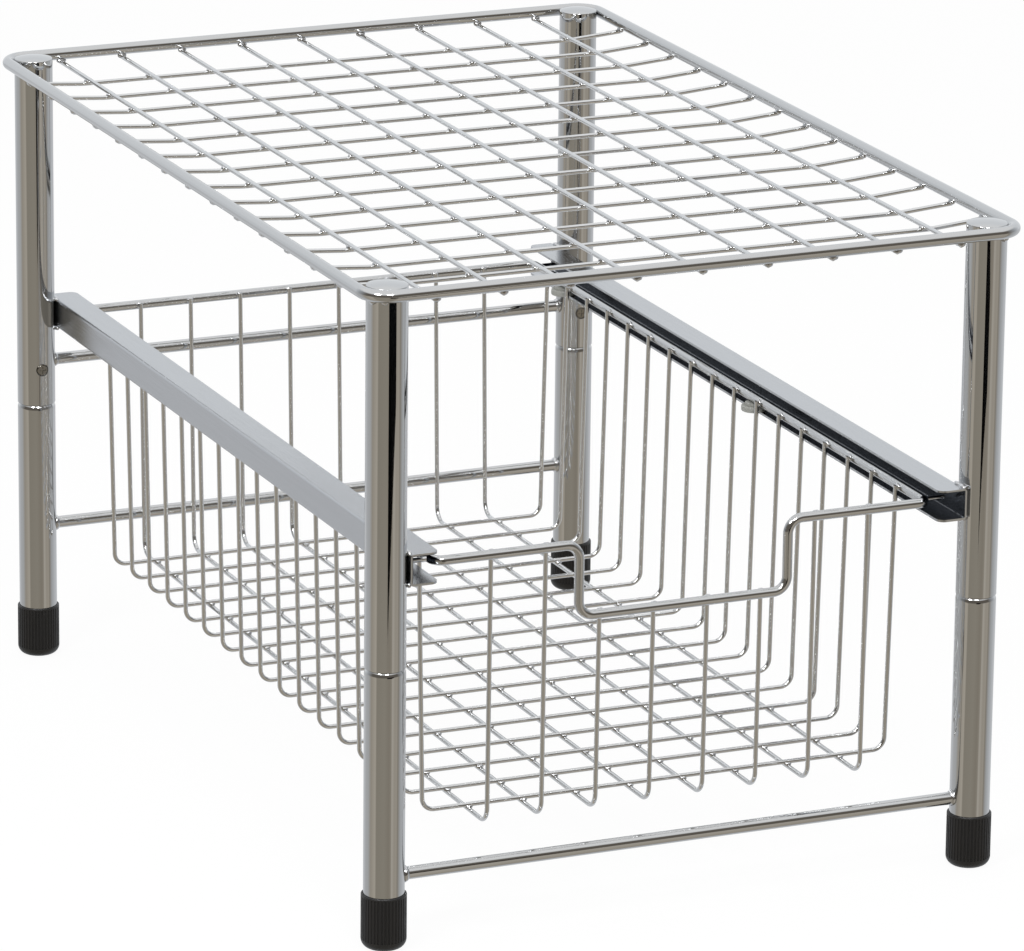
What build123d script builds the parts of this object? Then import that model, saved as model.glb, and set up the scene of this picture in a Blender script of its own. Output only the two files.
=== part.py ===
from build123d import *
from math import atan2, cos, radians, sin, tan
import os

# Pull-out cabinet basket: a wire shelf on four tube posts, with a wire basket
# that slides to the front in two channel rails under the shelf.
# Millimetres, +Z up, front at -Y, origin on the floor under the centre.

# ---- Driving dimensions -------------------------------------------------------

# Posts and legs
POST_SPACING_X = 297.0        # between the axes of the left and right posts
POST_SPACING_Y = 460.0        # between the axes of the front and rear posts
POST_RADIUS = 9.5             # three-quarter inch tube
POST_WALL = 1.2
POST_TOP_Z = 310.5            # top edge of the post tubes, under the caps
LEG_JOINT_Z = 133.2           # where post and lower leg meet
LEG_SHOULDER_HEIGHT = 2.4     # rounded shoulder of the leg under the joint
LEG_SHOULDER_INSET = 0.9      # how far the shoulder is drawn in at the joint
SPIGOT_LENGTH = 38.0          # narrowed end of the leg inside the post
TUBE_CLEARANCE = 0.08         # radial gap between tubes that slide together
POST_EDGE_BREAK = 0.35        # broken lower edge of the post

# Caps on the posts
CAP_EDGE_HEIGHT = 0.8
CAP_RISE = 1.2                # height of the low dome over the edge
CAP_EDGE_ROUND = 0.5
CAP_PLUG_LENGTH = 7.0

# Feet
FOOT_RADIUS = 10.5
FOOT_HEIGHT = 26.0
FOOT_FLOOR = 3.0              # plastic under the end of the leg
FOOT_BOTTOM_ROUND = 4.5
FOOT_TOP_ROUND = 0.5
FOOT_RIB_COUNT = 40
FOOT_GROOVE_RADIUS = 0.4
FOOT_CLEARANCE = 0.05         # radial gap between leg and foot

# Screws that hold the legs in the posts
SCREW_Z = 152.0
SCREW_HOLE_RADIUS = 3.2       # access hole in the post wall
SCREW_HEAD_RADIUS = 2.8
SCREW_HEAD_RECESS = 0.2       # below the surface of the post
SCREW_SHANK_RADIUS = 1.5
SCREW_SHANK_LENGTH = 4.5      # measured inwards from the spigot's surface
SCREW_CLEARANCE = 0.05
SCREW_SLOT_WIDTH = 0.7
SCREW_SLOT_DEPTH = 0.5
SCREW_SLOT_SPAN = 3.4

# Shelf
SHELF_RIM_RADIUS = 2.9
SHELF_RIM_DROP = 1.5          # from the posts' top edge down to the rim's centre line
WIRE_RADIUS = 1.1             # every wire of the shelf and the basket
SHELF_LONG_COUNT = 9
SHELF_LONG_CLEARANCE = 8.3    # between the outermost long wires and the posts
SHELF_CROSS_COUNT = 14
SHELF_CROSS_CLEARANCE = 16.6  # between the outermost cross wires and the posts
SHELF_WIRE_PAST_RIM = 0.3     # how far the wire ends pass the rim's centre line
SHELF_BEND_OFFSET = 3.0       # from the outermost long wire to the cross wires' bend
SHELF_BEND_RADIUS = 60.0

# Channel rails, open towards the basket
RAIL_OVERHANG = 6.5           # past the posts' axes, at both ends
RAIL_HEIGHT = 15.0
RAIL_FLANGE = 14.0
RAIL_SHEET = 1.1
RAIL_BEND_RADIUS = 1.6        # outside radius between web and flanges
RAIL_CORNER_RADIUS = 4.0      # corners of the flanges at the rail's ends
RAIL_MID_Z = 179.3

# Crossbars between left and right
CROSSBAR_RADIUS = 3.0
REAR_UPPER_BAR_Z = 154.6
REAR_LOWER_BAR_Z = 68.2
FRONT_LOWER_BAR_Z = 33.8

# Basket
BASKET_RIM_RADIUS = 2.3
BASKET_SIDE_GAP = 12.1        # between the rim's side runs and the rails' webs
BASKET_SETBACK = 3.0          # from the posts' axes to the rim's front and rear runs
BASKET_CORNER_RADIUS = 5.0
DIP_HALF_WIDTH = 52.3         # lowered middle of the front rim
DIP_DEPTH = 34.3
DIP_BEND_RADIUS = 7.0
BASKET_BOTTOM_Z = 49.4        # centre line of the lower layer of wires
BASKET_CROSS_COUNT = 17
BASKET_CROSS_CLEARANCE = 22.8  # between the outermost cross wires and the rim
BASKET_CROSS_TAPER = 2.5      # how far the side wires lean in at the bottom
BASKET_CROSS_BEND_RADIUS = 6.0
BASKET_LONG_COUNT = 8
BASKET_LONG_DIPPED = 4        # the middle ones that end at the dip
BASKET_LONG_PITCH = 27.0
BASKET_FRONT_TAPER = 1.6
BASKET_REAR_TAPER = 4.1
BASKET_LONG_BEND_RADIUS = 7.5
BASKET_WIRE_RISE = 1.3        # wire ends above the rim's centre line

# Glides under the basket's rim, and the pins beside it
GLIDE_RADIUS = 6.2
GLIDE_STEP_RADIUS = 4.4
GLIDE_STEP_HEIGHT = 1.2
GLIDE_EDGE_ROUND = 0.6
GLIDE_CLEARANCE = 0.05        # over the lower flange of the rail
GLIDE_GAP_COUNTS = (0.5, 9.6)  # glides' places, in cross wire spacings from the rear wire
PIN_RADIUS = 1.1
PIN_REACH = 8.7               # from the rim's surface
PIN_FRONT_INSET = 5.0         # from the front run of the rim
PIN_REAR_INSET = 5.0          # from the rear run of the rim

NEAR = 0.01                   # tolerance where edges are picked by their place

# ---- Sizes worked out from them -----------------------------------------------

POST_X = POST_SPACING_X / 2
POST_Y = POST_SPACING_Y / 2
POST_BORE_RADIUS = POST_RADIUS - POST_WALL
SPIGOT_RADIUS = POST_BORE_RADIUS - TUBE_CLEARANCE
SPIGOT_TOP_Z = LEG_JOINT_Z + SPIGOT_LENGTH
LEG_BOTTOM_Z = FOOT_FLOOR
LEG_BORE_RADIUS = SPIGOT_RADIUS - POST_WALL
shoulder_start = (POST_RADIUS, LEG_JOINT_Z - LEG_SHOULDER_HEIGHT)
shoulder_end = (POST_RADIUS - LEG_SHOULDER_INSET, LEG_JOINT_Z)
CAP_TOP_Z = POST_TOP_Z + CAP_EDGE_HEIGHT + CAP_RISE
CAP_DOME_RADIUS = (POST_RADIUS ** 2 + CAP_RISE ** 2) / (2 * CAP_RISE)

SHELF_RIM_Z = POST_TOP_Z - SHELF_RIM_DROP
SHELF_RIM_X = POST_X + POST_RADIUS + SHELF_RIM_RADIUS
SHELF_RIM_Y = POST_Y + POST_RADIUS + SHELF_RIM_RADIUS
SHELF_CORNER_RADIUS = POST_RADIUS + SHELF_RIM_RADIUS
SHELF_LONG_Z = SHELF_RIM_Z - SHELF_RIM_RADIUS - WIRE_RADIUS
SHELF_CROSS_Z = SHELF_LONG_Z - 2 * WIRE_RADIUS
SHELF_LONG_END = SHELF_RIM_Y + SHELF_WIRE_PAST_RIM
SHELF_CROSS_END = SHELF_RIM_X + SHELF_WIRE_PAST_RIM
SHELF_LONG_REACH = POST_X - POST_RADIUS - SHELF_LONG_CLEARANCE - WIRE_RADIUS
SHELF_LONG_PITCH = 2 * SHELF_LONG_REACH / (SHELF_LONG_COUNT - 1)
SHELF_CROSS_REACH = POST_Y - POST_RADIUS - SHELF_CROSS_CLEARANCE - WIRE_RADIUS
SHELF_CROSS_PITCH = 2 * SHELF_CROSS_REACH / (SHELF_CROSS_COUNT - 1)
SHELF_BEND_X = SHELF_LONG_REACH + SHELF_BEND_OFFSET

RAIL_LENGTH = POST_SPACING_Y + 2 * RAIL_OVERHANG
RAIL_WEB_X = POST_X - POST_RADIUS
RAIL_TIP_X = RAIL_WEB_X - RAIL_FLANGE
RAIL_INSIDE_LOW_Z = RAIL_MID_Z - RAIL_HEIGHT / 2 + RAIL_SHEET

BASKET_RIM_X = RAIL_WEB_X - RAIL_SHEET - BASKET_SIDE_GAP - BASKET_RIM_RADIUS
BASKET_RIM_Y = POST_Y - BASKET_SETBACK
BASKET_RIM_Z = RAIL_MID_Z
DIP_Z = BASKET_RIM_Z - DIP_DEPTH
RIM_TO_WIRE = BASKET_RIM_RADIUS + WIRE_RADIUS
BASKET_CROSS_TOP_X = BASKET_RIM_X - RIM_TO_WIRE
BASKET_LONG_TOP_Y = BASKET_RIM_Y - RIM_TO_WIRE
BASKET_CROSS_BOTTOM_Z = BASKET_BOTTOM_Z + 2 * WIRE_RADIUS
BASKET_CROSS_FIRST_Y = BASKET_RIM_Y - BASKET_RIM_RADIUS - BASKET_CROSS_CLEARANCE - WIRE_RADIUS
BASKET_CROSS_PITCH = 2 * BASKET_CROSS_FIRST_Y / (BASKET_CROSS_COUNT - 1)

# The shelf's wires, the basket's wires and the four corners, from one side to the other
shelf_long_x = [(i - (SHELF_LONG_COUNT - 1) / 2) * SHELF_LONG_PITCH for i in range(SHELF_LONG_COUNT)]
shelf_cross_y = [(i - (SHELF_CROSS_COUNT - 1) / 2) * SHELF_CROSS_PITCH for i in range(SHELF_CROSS_COUNT)]
basket_cross_y = [BASKET_CROSS_FIRST_Y - i * BASKET_CROSS_PITCH for i in range(BASKET_CROSS_COUNT)]
basket_long_x = [(i - (BASKET_LONG_COUNT - 1) / 2) * BASKET_LONG_PITCH for i in range(BASKET_LONG_COUNT)]
dipped_reach = BASKET_LONG_DIPPED / 2 * BASKET_LONG_PITCH
corners = {
    "front_left": (-POST_X, -POST_Y),
    "front_right": (POST_X, -POST_Y),
    "rear_left": (-POST_X, POST_Y),
    "rear_right": (POST_X, POST_Y),
}


def rounded_run(points, radii):
    """Draw an open path of straight runs joined by tangent arcs, in the current BuildLine."""
    start = Vector(*points[0])
    for before, corner, after, radius in zip(points, points[1:], points[2:], radii):
        corner = Vector(*corner)
        back = (Vector(*before) - corner).normalized()
        ahead = (Vector(*after) - corner).normalized()
        half_angle = radians(back.get_angle(ahead)) / 2
        trim = radius / tan(half_angle)
        to_centre = (back + ahead).normalized()
        middle = corner + to_centre * (radius / sin(half_angle) - radius)
        Line(start, corner + back * trim)
        ThreePointArc(corner + back * trim, middle, corner + ahead * trim)
        start = corner + ahead * trim
    Line(start, Vector(*points[-1]))


def finish(part, label):
    """Name one piece and write it to its own file."""
    part.label = label
    export_step(part, f"parts/{label}.step")


os.makedirs("parts", exist_ok=True)

# ---- Posts, caps, legs and feet -----------------------------------------------

for name, (x, y) in corners.items():
    # Each screw faces the middle of the unit, so the rear ones show from the front
    inward = -1 if y > 0 else 1
    screw_plane = Plane(origin=(x, y, SCREW_Z), z_dir=(0, inward, 0))
    axis_plane = Plane(origin=(x, y, 0), x_dir=(1, 0, 0), z_dir=(0, -1, 0))
    post_axis = Axis((x, y, 0), (0, 0, 1))

    with BuildPart() as post:
        with BuildSketch(Plane.XY.offset(LEG_JOINT_Z)):
            with Locations((x, y)):
                Circle(POST_RADIUS)
                Circle(POST_BORE_RADIUS, mode=Mode.SUBTRACT)
        extrude(amount=POST_TOP_Z - LEG_JOINT_Z)
        lower_edges = post.edges().filter_by(GeomType.CIRCLE).group_by(Axis.Z)[0]
        chamfer(lower_edges.sort_by(SortBy.RADIUS)[-1], POST_EDGE_BREAK)
        with BuildSketch(screw_plane):
            Circle(SCREW_HOLE_RADIUS)
        extrude(amount=POST_RADIUS * 2, mode=Mode.SUBTRACT)
    finish(post.part, f"post_{name}")

    with BuildPart() as cap:
        with BuildSketch(axis_plane):
            with BuildLine():
                Polyline((0, POST_TOP_Z), (POST_RADIUS, POST_TOP_Z), (POST_RADIUS, POST_TOP_Z + CAP_EDGE_HEIGHT))
                RadiusArc((POST_RADIUS, POST_TOP_Z + CAP_EDGE_HEIGHT), (0, CAP_TOP_Z), -CAP_DOME_RADIUS)
                Line((0, CAP_TOP_Z), (0, POST_TOP_Z))
            make_face()
        revolve(axis=post_axis)
        dome_edge = cap.edges().filter_by(lambda edge: edge.is_closed).sort_by(Axis.Z)[-1]
        fillet(dome_edge, min(CAP_EDGE_ROUND, CAP_EDGE_HEIGHT * 0.7))
        with BuildSketch(Plane.XY.offset(POST_TOP_Z)):
            with Locations((x, y)):
                Circle(POST_BORE_RADIUS - TUBE_CLEARANCE)
        extrude(amount=-CAP_PLUG_LENGTH)
    finish(cap.part, f"post_cap_{name}")

    with BuildPart() as leg:
        with BuildSketch(axis_plane):
            with BuildLine():
                Polyline((LEG_BORE_RADIUS, LEG_BOTTOM_Z), (POST_RADIUS, LEG_BOTTOM_Z), shoulder_start)
                TangentArc(shoulder_start, shoulder_end, tangent=(0, 1))
                Polyline(
                    shoulder_end, (SPIGOT_RADIUS, LEG_JOINT_Z), (SPIGOT_RADIUS, SPIGOT_TOP_Z),
                    (LEG_BORE_RADIUS, SPIGOT_TOP_Z), (LEG_BORE_RADIUS, LEG_BOTTOM_Z),
                )
            make_face()
        revolve(axis=post_axis)
        with BuildSketch(screw_plane):
            Circle(SCREW_SHANK_RADIUS + SCREW_CLEARANCE)
        extrude(amount=POST_RADIUS, mode=Mode.SUBTRACT)
    finish(leg.part, f"leg_{name}")

    with BuildPart() as foot:
        with BuildSketch():
            with Locations((x, y)):
                Circle(FOOT_RADIUS)
        extrude(amount=FOOT_HEIGHT)
        foot_edges = foot.edges().filter_by(GeomType.CIRCLE).sort_by(Axis.Z)
        fillet(foot_edges[0], min(FOOT_BOTTOM_ROUND, FOOT_RADIUS * 0.45))
        fillet(foot_edges[-1], FOOT_TOP_ROUND)
        with BuildSketch(Plane.XY.offset(FOOT_FLOOR)):
            with Locations((x, y)):
                Circle(POST_RADIUS + FOOT_CLEARANCE)
        extrude(amount=FOOT_HEIGHT, mode=Mode.SUBTRACT)
        with BuildSketch(Plane.XY.offset(FOOT_BOTTOM_ROUND)):
            with Locations((x, y)):
                with PolarLocations(FOOT_RADIUS, FOOT_RIB_COUNT):
                    Circle(FOOT_GROOVE_RADIUS)
        extrude(amount=FOOT_HEIGHT - FOOT_BOTTOM_ROUND - 2 * FOOT_TOP_ROUND, mode=Mode.SUBTRACT)
    finish(foot.part, f"foot_{name}")

# ---- Leg screws ---------------------------------------------------------------

# The head's underside is hollowed to sit on the round spigot.
head_top = POST_RADIUS - SCREW_HEAD_RECESS
with BuildPart() as leg_screws:
    for x, y in corners.values():
        inward = -1 if y > 0 else 1
        plane = Plane(origin=(x, y, SCREW_Z), z_dir=(0, inward, 0))
        with BuildSketch(plane.offset(SPIGOT_RADIUS * 0.8)):
            Circle(SCREW_HEAD_RADIUS)
        extrude(amount=head_top - SPIGOT_RADIUS * 0.8)
    round_edges = leg_screws.edges().filter_by(GeomType.CIRCLE)
    outer_rims = [edge for edge in round_edges if abs(abs(edge.center().Y) - (POST_Y - head_top)) < NEAR]
    fillet(outer_rims, SCREW_HEAD_RADIUS * 0.2)
    for x, y in corners.values():
        inward = -1 if y > 0 else 1
        plane = Plane(origin=(x, y, SCREW_Z), z_dir=(0, inward, 0))
        with BuildSketch(plane.offset(head_top)):
            Rectangle(SCREW_SLOT_SPAN, SCREW_SLOT_WIDTH)
            Rectangle(SCREW_SLOT_WIDTH, SCREW_SLOT_SPAN)
        extrude(amount=-SCREW_SLOT_DEPTH, mode=Mode.SUBTRACT)
        with BuildSketch(Plane.XY.offset(LEG_JOINT_Z)):
            with Locations((x, y)):
                Circle(SPIGOT_RADIUS)
        extrude(amount=SPIGOT_LENGTH, mode=Mode.SUBTRACT)
        with BuildSketch(plane.offset(SPIGOT_RADIUS - SCREW_SHANK_LENGTH)):
            Circle(SCREW_SHANK_RADIUS)
        extrude(amount=SCREW_SHANK_LENGTH + POST_WALL * 0.3)
finish(leg_screws.part, "leg_screws")

# ---- Shelf --------------------------------------------------------------------

# The rim's corners are bent round the posts, so their radius follows the post's. The rod is
# divided where each bend starts, into four straight runs and four bends that meet face to face.
with BuildPart() as shelf_rim:
    with BuildSketch(Plane.YZ):
        with Locations((SHELF_RIM_Y, SHELF_RIM_Z)):
            Circle(SHELF_RIM_RADIUS)
    with BuildLine() as rim_path:
        rounded_run(
            [(0, SHELF_RIM_Y, SHELF_RIM_Z), (SHELF_RIM_X, SHELF_RIM_Y, SHELF_RIM_Z),
             (SHELF_RIM_X, -SHELF_RIM_Y, SHELF_RIM_Z), (0, -SHELF_RIM_Y, SHELF_RIM_Z)],
            [SHELF_CORNER_RADIUS, SHELF_CORNER_RADIUS],
        )
    sweep(path=rim_path.line)
    mirror(about=Plane.YZ)
    for side in (-1, 1):
        split(bisect_by=Plane.YZ.offset(side * (SHELF_RIM_X - SHELF_CORNER_RADIUS)), keep=Keep.BOTH)
        split(bisect_by=Plane.XZ.offset(side * (SHELF_RIM_Y - SHELF_CORNER_RADIUS)), keep=Keep.BOTH)
finish(shelf_rim.part, "shelf_rim")

with BuildPart() as shelf_long_wires:
    with BuildSketch(Plane.XZ.offset(-SHELF_LONG_END)):
        with Locations(*[(x, SHELF_LONG_Z) for x in shelf_long_x]):
            Circle(WIRE_RADIUS)
    extrude(amount=2 * SHELF_LONG_END)
finish(shelf_long_wires.part, "shelf_long_wires")

# Each cross wire runs under the long ones, and slopes up at its ends to meet the rim from below.
slope = atan2(SHELF_LONG_Z - SHELF_CROSS_Z, SHELF_RIM_X - SHELF_BEND_X)
contact_z = SHELF_RIM_Z - (SHELF_RIM_RADIUS + WIRE_RADIUS) / cos(slope)
shelf_cross_end_z = contact_z + SHELF_WIRE_PAST_RIM * tan(slope)
with BuildPart() as shelf_cross_wires:
    for y in shelf_cross_y:
        with BuildLine() as wire_path:
            rounded_run(
                [(-SHELF_CROSS_END, y, shelf_cross_end_z), (-SHELF_BEND_X, y, SHELF_CROSS_Z),
                 (SHELF_BEND_X, y, SHELF_CROSS_Z), (SHELF_CROSS_END, y, shelf_cross_end_z)],
                [SHELF_BEND_RADIUS] * 2,
            )
        with BuildSketch(Plane(origin=wire_path.line @ 0, z_dir=wire_path.line % 0)):
            Circle(WIRE_RADIUS)
        sweep(path=wire_path.line)
finish(shelf_cross_wires.part, "shelf_cross_wires")

# ---- Rails and crossbars ------------------------------------------------------

for name, side in (("left", -1), ("right", 1)):
    with BuildPart() as rail:
        with BuildSketch(Plane.XZ.offset(-RAIL_LENGTH / 2)) as profile:
            with Locations((side * (RAIL_WEB_X - RAIL_FLANGE / 2), RAIL_MID_Z)):
                Rectangle(RAIL_FLANGE, RAIL_HEIGHT)
            with Locations((side * (RAIL_WEB_X - RAIL_SHEET - RAIL_FLANGE / 2), RAIL_MID_Z)):
                Rectangle(RAIL_FLANGE, RAIL_HEIGHT - 2 * RAIL_SHEET, mode=Mode.SUBTRACT)
            web_corners = profile.vertices().sort_by(Axis.X)
            outer = web_corners[-2:] if side > 0 else web_corners[:2]
            fillet(outer, RAIL_BEND_RADIUS)
        extrude(amount=RAIL_LENGTH)
        tip_position = side * RAIL_TIP_X
        tips = rail.edges().filter_by(Axis.Z).filter_by_position(Axis.X, tip_position - NEAR, tip_position + NEAR)
        fillet(tips, RAIL_CORNER_RADIUS)
    finish(rail.part, f"rail_{name}")

crossbars = {
    "rear_upper_crossbar": (POST_Y, REAR_UPPER_BAR_Z),
    "rear_lower_crossbar": (POST_Y, REAR_LOWER_BAR_Z),
    "front_lower_crossbar": (-POST_Y, FRONT_LOWER_BAR_Z),
}
for name, (y, z) in crossbars.items():
    with BuildPart() as crossbar:
        with BuildSketch(Plane.YZ.offset(-POST_X)):
            with Locations((y, z)):
                Circle(CROSSBAR_RADIUS)
        extrude(amount=POST_SPACING_X)
        # The ends are shaped to the round of the tubes
        with BuildSketch(Plane.XY.offset(z - 2 * CROSSBAR_RADIUS)):
            with Locations((-POST_X, y), (POST_X, y)):
                Circle(POST_RADIUS)
        extrude(amount=4 * CROSSBAR_RADIUS, mode=Mode.SUBTRACT)
    finish(crossbar.part, name)

# ---- Basket -------------------------------------------------------------------

# One closed rod, lowered in the middle of the front.
with BuildPart() as basket_rim:
    with BuildSketch(Plane.YZ):
        with Locations((BASKET_RIM_Y, BASKET_RIM_Z)):
            Circle(BASKET_RIM_RADIUS)
    with BuildLine() as rim_path:
        rounded_run(
            [(0, BASKET_RIM_Y, BASKET_RIM_Z), (BASKET_RIM_X, BASKET_RIM_Y, BASKET_RIM_Z),
             (BASKET_RIM_X, -BASKET_RIM_Y, BASKET_RIM_Z), (DIP_HALF_WIDTH, -BASKET_RIM_Y, BASKET_RIM_Z),
             (DIP_HALF_WIDTH, -BASKET_RIM_Y, DIP_Z), (0, -BASKET_RIM_Y, DIP_Z)],
            [BASKET_CORNER_RADIUS, BASKET_CORNER_RADIUS, DIP_BEND_RADIUS, DIP_BEND_RADIUS],
        )
    sweep(path=rim_path.line)
    mirror(about=Plane.YZ)
finish(basket_rim.part, "basket_rim")


def lean(top, bottom, z):
    """Extend the straight line from bottom to top, both (across, z), up to the height z."""
    return top[0] + (top[0] - bottom[0]) * (z - top[1]) / (top[1] - bottom[1])


# Cross wires: U shapes from side to side, lying on the long wires.
cross_end_z = BASKET_RIM_Z + BASKET_WIRE_RISE
cross_top = (BASKET_CROSS_TOP_X, BASKET_RIM_Z)
cross_bottom = (BASKET_CROSS_TOP_X - BASKET_CROSS_TAPER, BASKET_CROSS_BOTTOM_Z)
cross_end_x = lean(cross_top, cross_bottom, cross_end_z)
with BuildPart() as basket_cross_wires:
    for y in basket_cross_y:
        with BuildLine() as wire_path:
            rounded_run(
                [(-cross_end_x, y, cross_end_z), (-cross_bottom[0], y, cross_bottom[1]),
                 (cross_bottom[0], y, cross_bottom[1]), (cross_end_x, y, cross_end_z)],
                [BASKET_CROSS_BEND_RADIUS] * 2,
            )
        with BuildSketch(Plane(origin=wire_path.line @ 0, z_dir=wire_path.line % 0)):
            Circle(WIRE_RADIUS)
        sweep(path=wire_path.line)
finish(basket_cross_wires.part, "basket_cross_wires")

# Long wires: U shapes from front to rear; the middle ones end at the dip.
with BuildPart() as basket_long_wires:
    for x in basket_long_x:
        front_rim_z = DIP_Z if abs(x) < dipped_reach else BASKET_RIM_Z
        front_top = (-BASKET_LONG_TOP_Y, front_rim_z)
        front_bottom = (-BASKET_LONG_TOP_Y + BASKET_FRONT_TAPER, BASKET_BOTTOM_Z)
        rear_top = (BASKET_LONG_TOP_Y, BASKET_RIM_Z)
        rear_bottom = (BASKET_LONG_TOP_Y - BASKET_REAR_TAPER, BASKET_BOTTOM_Z)
        front_end_z = front_rim_z + BASKET_WIRE_RISE
        rear_end_z = BASKET_RIM_Z + BASKET_WIRE_RISE
        with BuildLine() as wire_path:
            rounded_run(
                [(x, lean(front_top, front_bottom, front_end_z), front_end_z),
                 (x, front_bottom[0], BASKET_BOTTOM_Z), (x, rear_bottom[0], BASKET_BOTTOM_Z),
                 (x, lean(rear_top, rear_bottom, rear_end_z), rear_end_z)],
                [BASKET_LONG_BEND_RADIUS] * 2,
            )
        with BuildSketch(Plane(origin=wire_path.line @ 0, z_dir=wire_path.line % 0)):
            Circle(WIRE_RADIUS)
        sweep(path=wire_path.line)
finish(basket_long_wires.part, "basket_long_wires")

# Glides: stepped discs under the side runs of the rim, resting in the rails.
glide_bottom_z = RAIL_INSIDE_LOW_Z + GLIDE_CLEARANCE
glide_top_z = BASKET_RIM_Z - BASKET_RIM_RADIUS
glide_y = [BASKET_CROSS_FIRST_Y - place * BASKET_CROSS_PITCH for place in GLIDE_GAP_COUNTS]
glide_places = [(side * BASKET_RIM_X, y) for side in (-1, 1) for y in glide_y]
with BuildPart() as glide_buttons:
    with BuildSketch(Plane.XY.offset(glide_bottom_z)):
        with Locations(*glide_places):
            Circle(GLIDE_RADIUS)
    extrude(amount=glide_top_z - GLIDE_STEP_HEIGHT - glide_bottom_z)
    fillet(glide_buttons.edges().filter_by(GeomType.CIRCLE), GLIDE_EDGE_ROUND)
    with BuildSketch(Plane.XY.offset(glide_top_z - GLIDE_STEP_HEIGHT)):
        with Locations(*glide_places):
            Circle(GLIDE_STEP_RADIUS)
    extrude(amount=GLIDE_STEP_HEIGHT)
finish(glide_buttons.part, "glide_buttons")

# Guide pins: short stubs on the rim's outer side that keep the basket between the flanges.
pin_y = (-BASKET_RIM_Y + PIN_FRONT_INSET, BASKET_RIM_Y - PIN_REAR_INSET)
with BuildPart() as guide_pins:
    for side in (-1, 1):
        with BuildSketch(Plane(origin=(side * BASKET_RIM_X, 0, 0), x_dir=(0, 1, 0), z_dir=(side, 0, 0))):
            for y in pin_y:
                with Locations((y, side * BASKET_RIM_Z)):
                    Circle(PIN_RADIUS)
        extrude(amount=BASKET_RIM_RADIUS + PIN_REACH)
    # The inner ends are shaped to the rim's rod
    with BuildSketch(Plane.XZ.offset(-BASKET_RIM_Y)):
        with Locations((-BASKET_RIM_X, BASKET_RIM_Z), (BASKET_RIM_X, BASKET_RIM_Z)):
            Circle(BASKET_RIM_RADIUS)
    extrude(amount=2 * BASKET_RIM_Y, mode=Mode.SUBTRACT)
finish(guide_pins.part, "guide_pins")
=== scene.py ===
# %% [markdown]
# # A chromed pull-out cabinet basket
# This lesson dresses a wire shelf on four tube posts, with a wire basket that slides out
# in two channel rails. The real thing is made of cut, bent and spot-welded steel rod, wire,
# tube and folded sheet, plated with bright chromium, and it stands on black plastic feet.
# The measured model comes first: it gives every piece its place and size. The welds, the
# room and the lamps aren't in it, so they are matched to the photograph by comparing. The
# lesson spends its time on round, smooth wires, on the small welds that join them, and on
# what chrome reflects.

# %% Load the measured model
import math

import bpy
from mathutils import Matrix, Vector


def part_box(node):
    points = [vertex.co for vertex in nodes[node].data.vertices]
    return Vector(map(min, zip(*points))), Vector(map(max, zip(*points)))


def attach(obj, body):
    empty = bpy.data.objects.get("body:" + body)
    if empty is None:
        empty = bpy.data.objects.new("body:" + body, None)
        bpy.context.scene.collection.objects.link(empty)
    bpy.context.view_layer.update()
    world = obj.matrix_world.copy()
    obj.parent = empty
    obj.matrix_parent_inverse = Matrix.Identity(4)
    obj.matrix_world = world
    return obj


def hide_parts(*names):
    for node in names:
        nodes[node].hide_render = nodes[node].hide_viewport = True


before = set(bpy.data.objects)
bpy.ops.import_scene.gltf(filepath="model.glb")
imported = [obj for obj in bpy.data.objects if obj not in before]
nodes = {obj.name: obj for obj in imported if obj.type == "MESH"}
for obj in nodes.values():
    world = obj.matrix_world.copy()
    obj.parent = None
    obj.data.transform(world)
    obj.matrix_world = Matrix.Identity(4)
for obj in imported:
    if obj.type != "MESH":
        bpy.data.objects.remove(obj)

MM = 0.001
scene = bpy.context.scene
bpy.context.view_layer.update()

# %% [markdown]
# ## The camera
# The photograph was taken with a long lens from the front left, a little above the shelf.
# A long lens keeps the far legs nearly as large as the near ones. The place and the angles
# were solved from the posts' edges, so the camera is set by numbers and not by eye.

# %% Set the camera
IMAGE_WIDTH = 1024
FOCAL_PIXELS = 7090.4
SENSOR_WIDTH = 36.0
CAMERA_PLACE = Vector((-1309.42, -3017.83, 1133.64)) * MM
CAMERA_YAW = 23.670
CAMERA_PITCH = 16.770
CAMERA_ROLL = 0.630


def camera_axes(yaw, pitch, roll):
    """Right, up and backward directions of a camera, from its angles in degrees."""
    yaw, pitch, roll = (math.radians(angle) for angle in (yaw, pitch, roll))
    forward = Vector((math.sin(yaw) * math.cos(pitch), math.cos(yaw) * math.cos(pitch), -math.sin(pitch)))
    level_right = Vector((math.cos(yaw), -math.sin(yaw), 0))
    level_up = level_right.cross(forward)
    right = math.cos(roll) * level_right + math.sin(roll) * level_up
    up = math.cos(roll) * level_up - math.sin(roll) * level_right
    return right, up, -forward


camera_data = bpy.data.cameras.new("camera")
camera_data.sensor_width = SENSOR_WIDTH
camera_data.lens = FOCAL_PIXELS / IMAGE_WIDTH * SENSOR_WIDTH
camera_data.clip_end = 50
camera = bpy.data.objects.new("camera", camera_data)
scene.collection.objects.link(camera)
camera_turn = Matrix(camera_axes(CAMERA_YAW, CAMERA_PITCH, CAMERA_ROLL)).transposed()
camera.matrix_world = Matrix.Translation(CAMERA_PLACE) @ camera_turn.to_4x4()
scene.camera = camera
print("lens, mm:", round(camera_data.lens, 1))

# %% [markdown]
# ## Colours and nodes
# Colours are written as the hex values that a picture shows. The renderer works with linear
# light, so one function turns them. Another one adds a shader or geometry node with its
# settings and links, which keeps each recipe as short as its list of steps.

# %% Helpers for colours and nodes


def linear(hex_colour):
    """A picture's hex colour as linear light, with alpha 1."""
    channels = [int(hex_colour[i:i + 2], 16) / 255 for i in (1, 3, 5)]
    return [c / 12.92 if c <= 0.04045 else ((c + 0.055) / 1.055) ** 2.4 for c in channels] + [1.0]


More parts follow.
